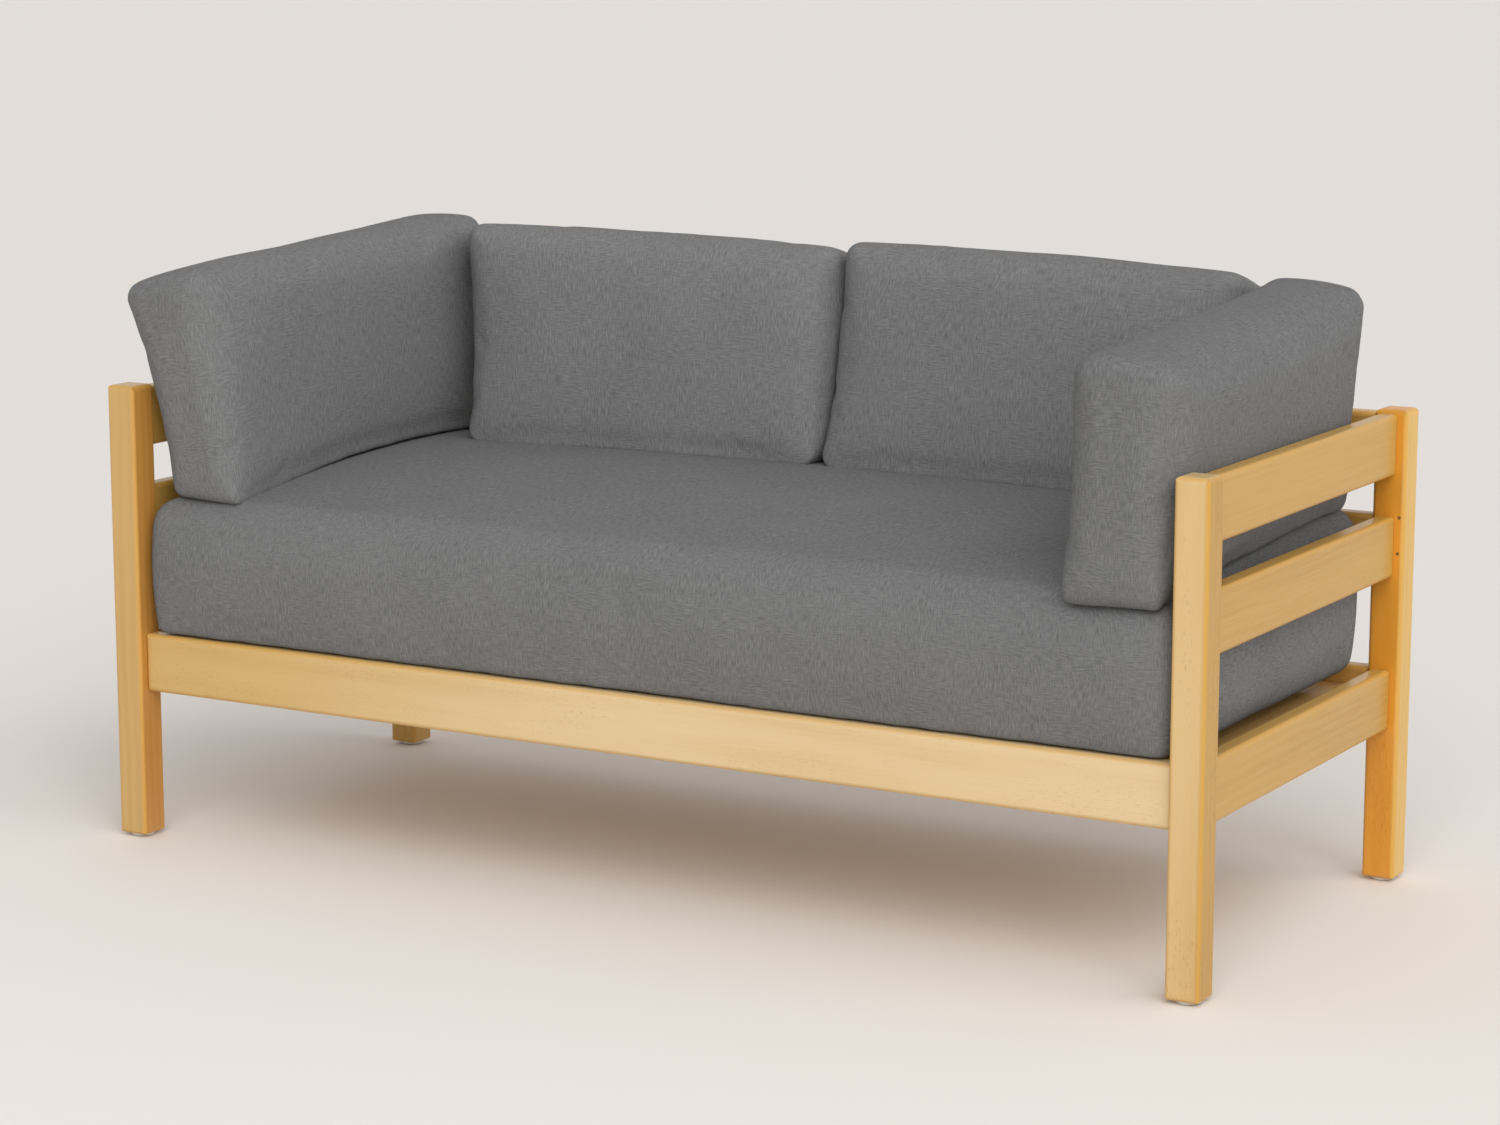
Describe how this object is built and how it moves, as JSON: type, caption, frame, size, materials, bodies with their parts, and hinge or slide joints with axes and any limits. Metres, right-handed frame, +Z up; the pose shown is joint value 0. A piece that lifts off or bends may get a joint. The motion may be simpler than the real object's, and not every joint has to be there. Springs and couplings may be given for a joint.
{
  "type": "two-seat sofa",
  "caption": "Slatted two-seat sofa with a square-post beech frame, three-rail ends and back, a thick loose seat cushion and loose boxed arm and back cushions.",
  "frame": {"origin": "On the floor, under the middle of the frame.", "axes": "+X along the sofa to the right of someone looking at its front, +Y towards the back, +Z up."},
  "size_m": [1.6, 0.68, 0.814],
  "materials": {
    "beech": "satin clear lacquer",
    "beech_plain": "plain sanded",
    "zinc_steel": "zinc plated",
    "nail_steel": "bright drawn",
    "glide_plastic": "translucent moulded",
    "cover_fabric": "woven, matt",
    "foam": "open-cell foam with wadding"
  },
  "bodies": {
    "frame": {"front_left_post": "beech", "front_right_post": "beech", "rear_left_post": "beech", "rear_right_post": "beech", "left_top_rail": "beech", "left_middle_rail": "beech", "left_seat_rail": "beech", "right_top_rail": "beech", "right_middle_rail": "beech", "right_seat_rail": "beech", "back_top_rail": "beech", "back_middle_rail": "beech", "back_seat_rail": "beech", "front_seat_rail": "beech", "front_cleat": "beech_plain", "back_cleat": "beech_plain", "slat_1": "beech_plain", "slat_2": "beech_plain", "slat_3": "beech_plain", "slat_4": "beech_plain", "slat_5": "beech_plain", "slat_6": "beech_plain", "slat_7": "beech_plain", "slat_8": "beech_plain", "slat_9": "beech_plain", "slat_10": "beech_plain", "slat_11": "beech_plain", "slat_12": "beech_plain", "slat_13": "beech_plain", "left_end_dowels": "beech_plain", "right_end_dowels": "beech_plain", "back_dowels": "beech_plain", "front_dowels": "beech_plain", "slat_screws": "zinc_steel", "cleat_screws": "zinc_steel", "front_left_glide": "glide_plastic", "front_right_glide": "glide_plastic", "rear_left_glide": "glide_plastic", "rear_right_glide": "glide_plastic", "glide_nails": "nail_steel"},
    "seat_cushion": {"seat_cushion": "cover_fabric", "seat_foam": "foam"},
    "left_arm_cushion": {"left_arm_cushion": "cover_fabric", "left_arm_foam": "foam"},
    "right_arm_cushion": {"right_arm_cushion": "cover_fabric", "right_arm_foam": "foam"},
    "left_back_cushion": {"left_back_cushion": "cover_fabric", "left_back_foam": "foam"},
    "right_back_cushion": {"right_back_cushion": "cover_fabric", "right_back_foam": "foam"}
  },
  "joints": [
    {"name": "seat_cushion_lift", "type": "slide", "parent": "frame", "child": "seat_cushion", "axis": [0, 0, 1], "range_m": [0, 0.38]},
    {"name": "left_arm_cushion_lift", "type": "slide", "parent": "seat_cushion", "child": "left_arm_cushion", "axis": [-0.0436, 0, 0.999], "range_m": [0, 0.36]},
    {"name": "right_arm_cushion_lift", "type": "slide", "parent": "seat_cushion", "child": "right_arm_cushion", "axis": [0.0785, 0, 0.9969], "range_m": [0, 0.36]},
    {"name": "left_back_cushion_lift", "type": "slide", "parent": "seat_cushion", "child": "left_back_cushion", "axis": [0, 0.2924, 0.9563], "range_m": [0, 0.36]},
    {"name": "right_back_cushion_lift", "type": "slide", "parent": "seat_cushion", "child": "right_back_cushion", "axis": [0, 0.2924, 0.9563], "range_m": [0, 0.36]}
  ]
}
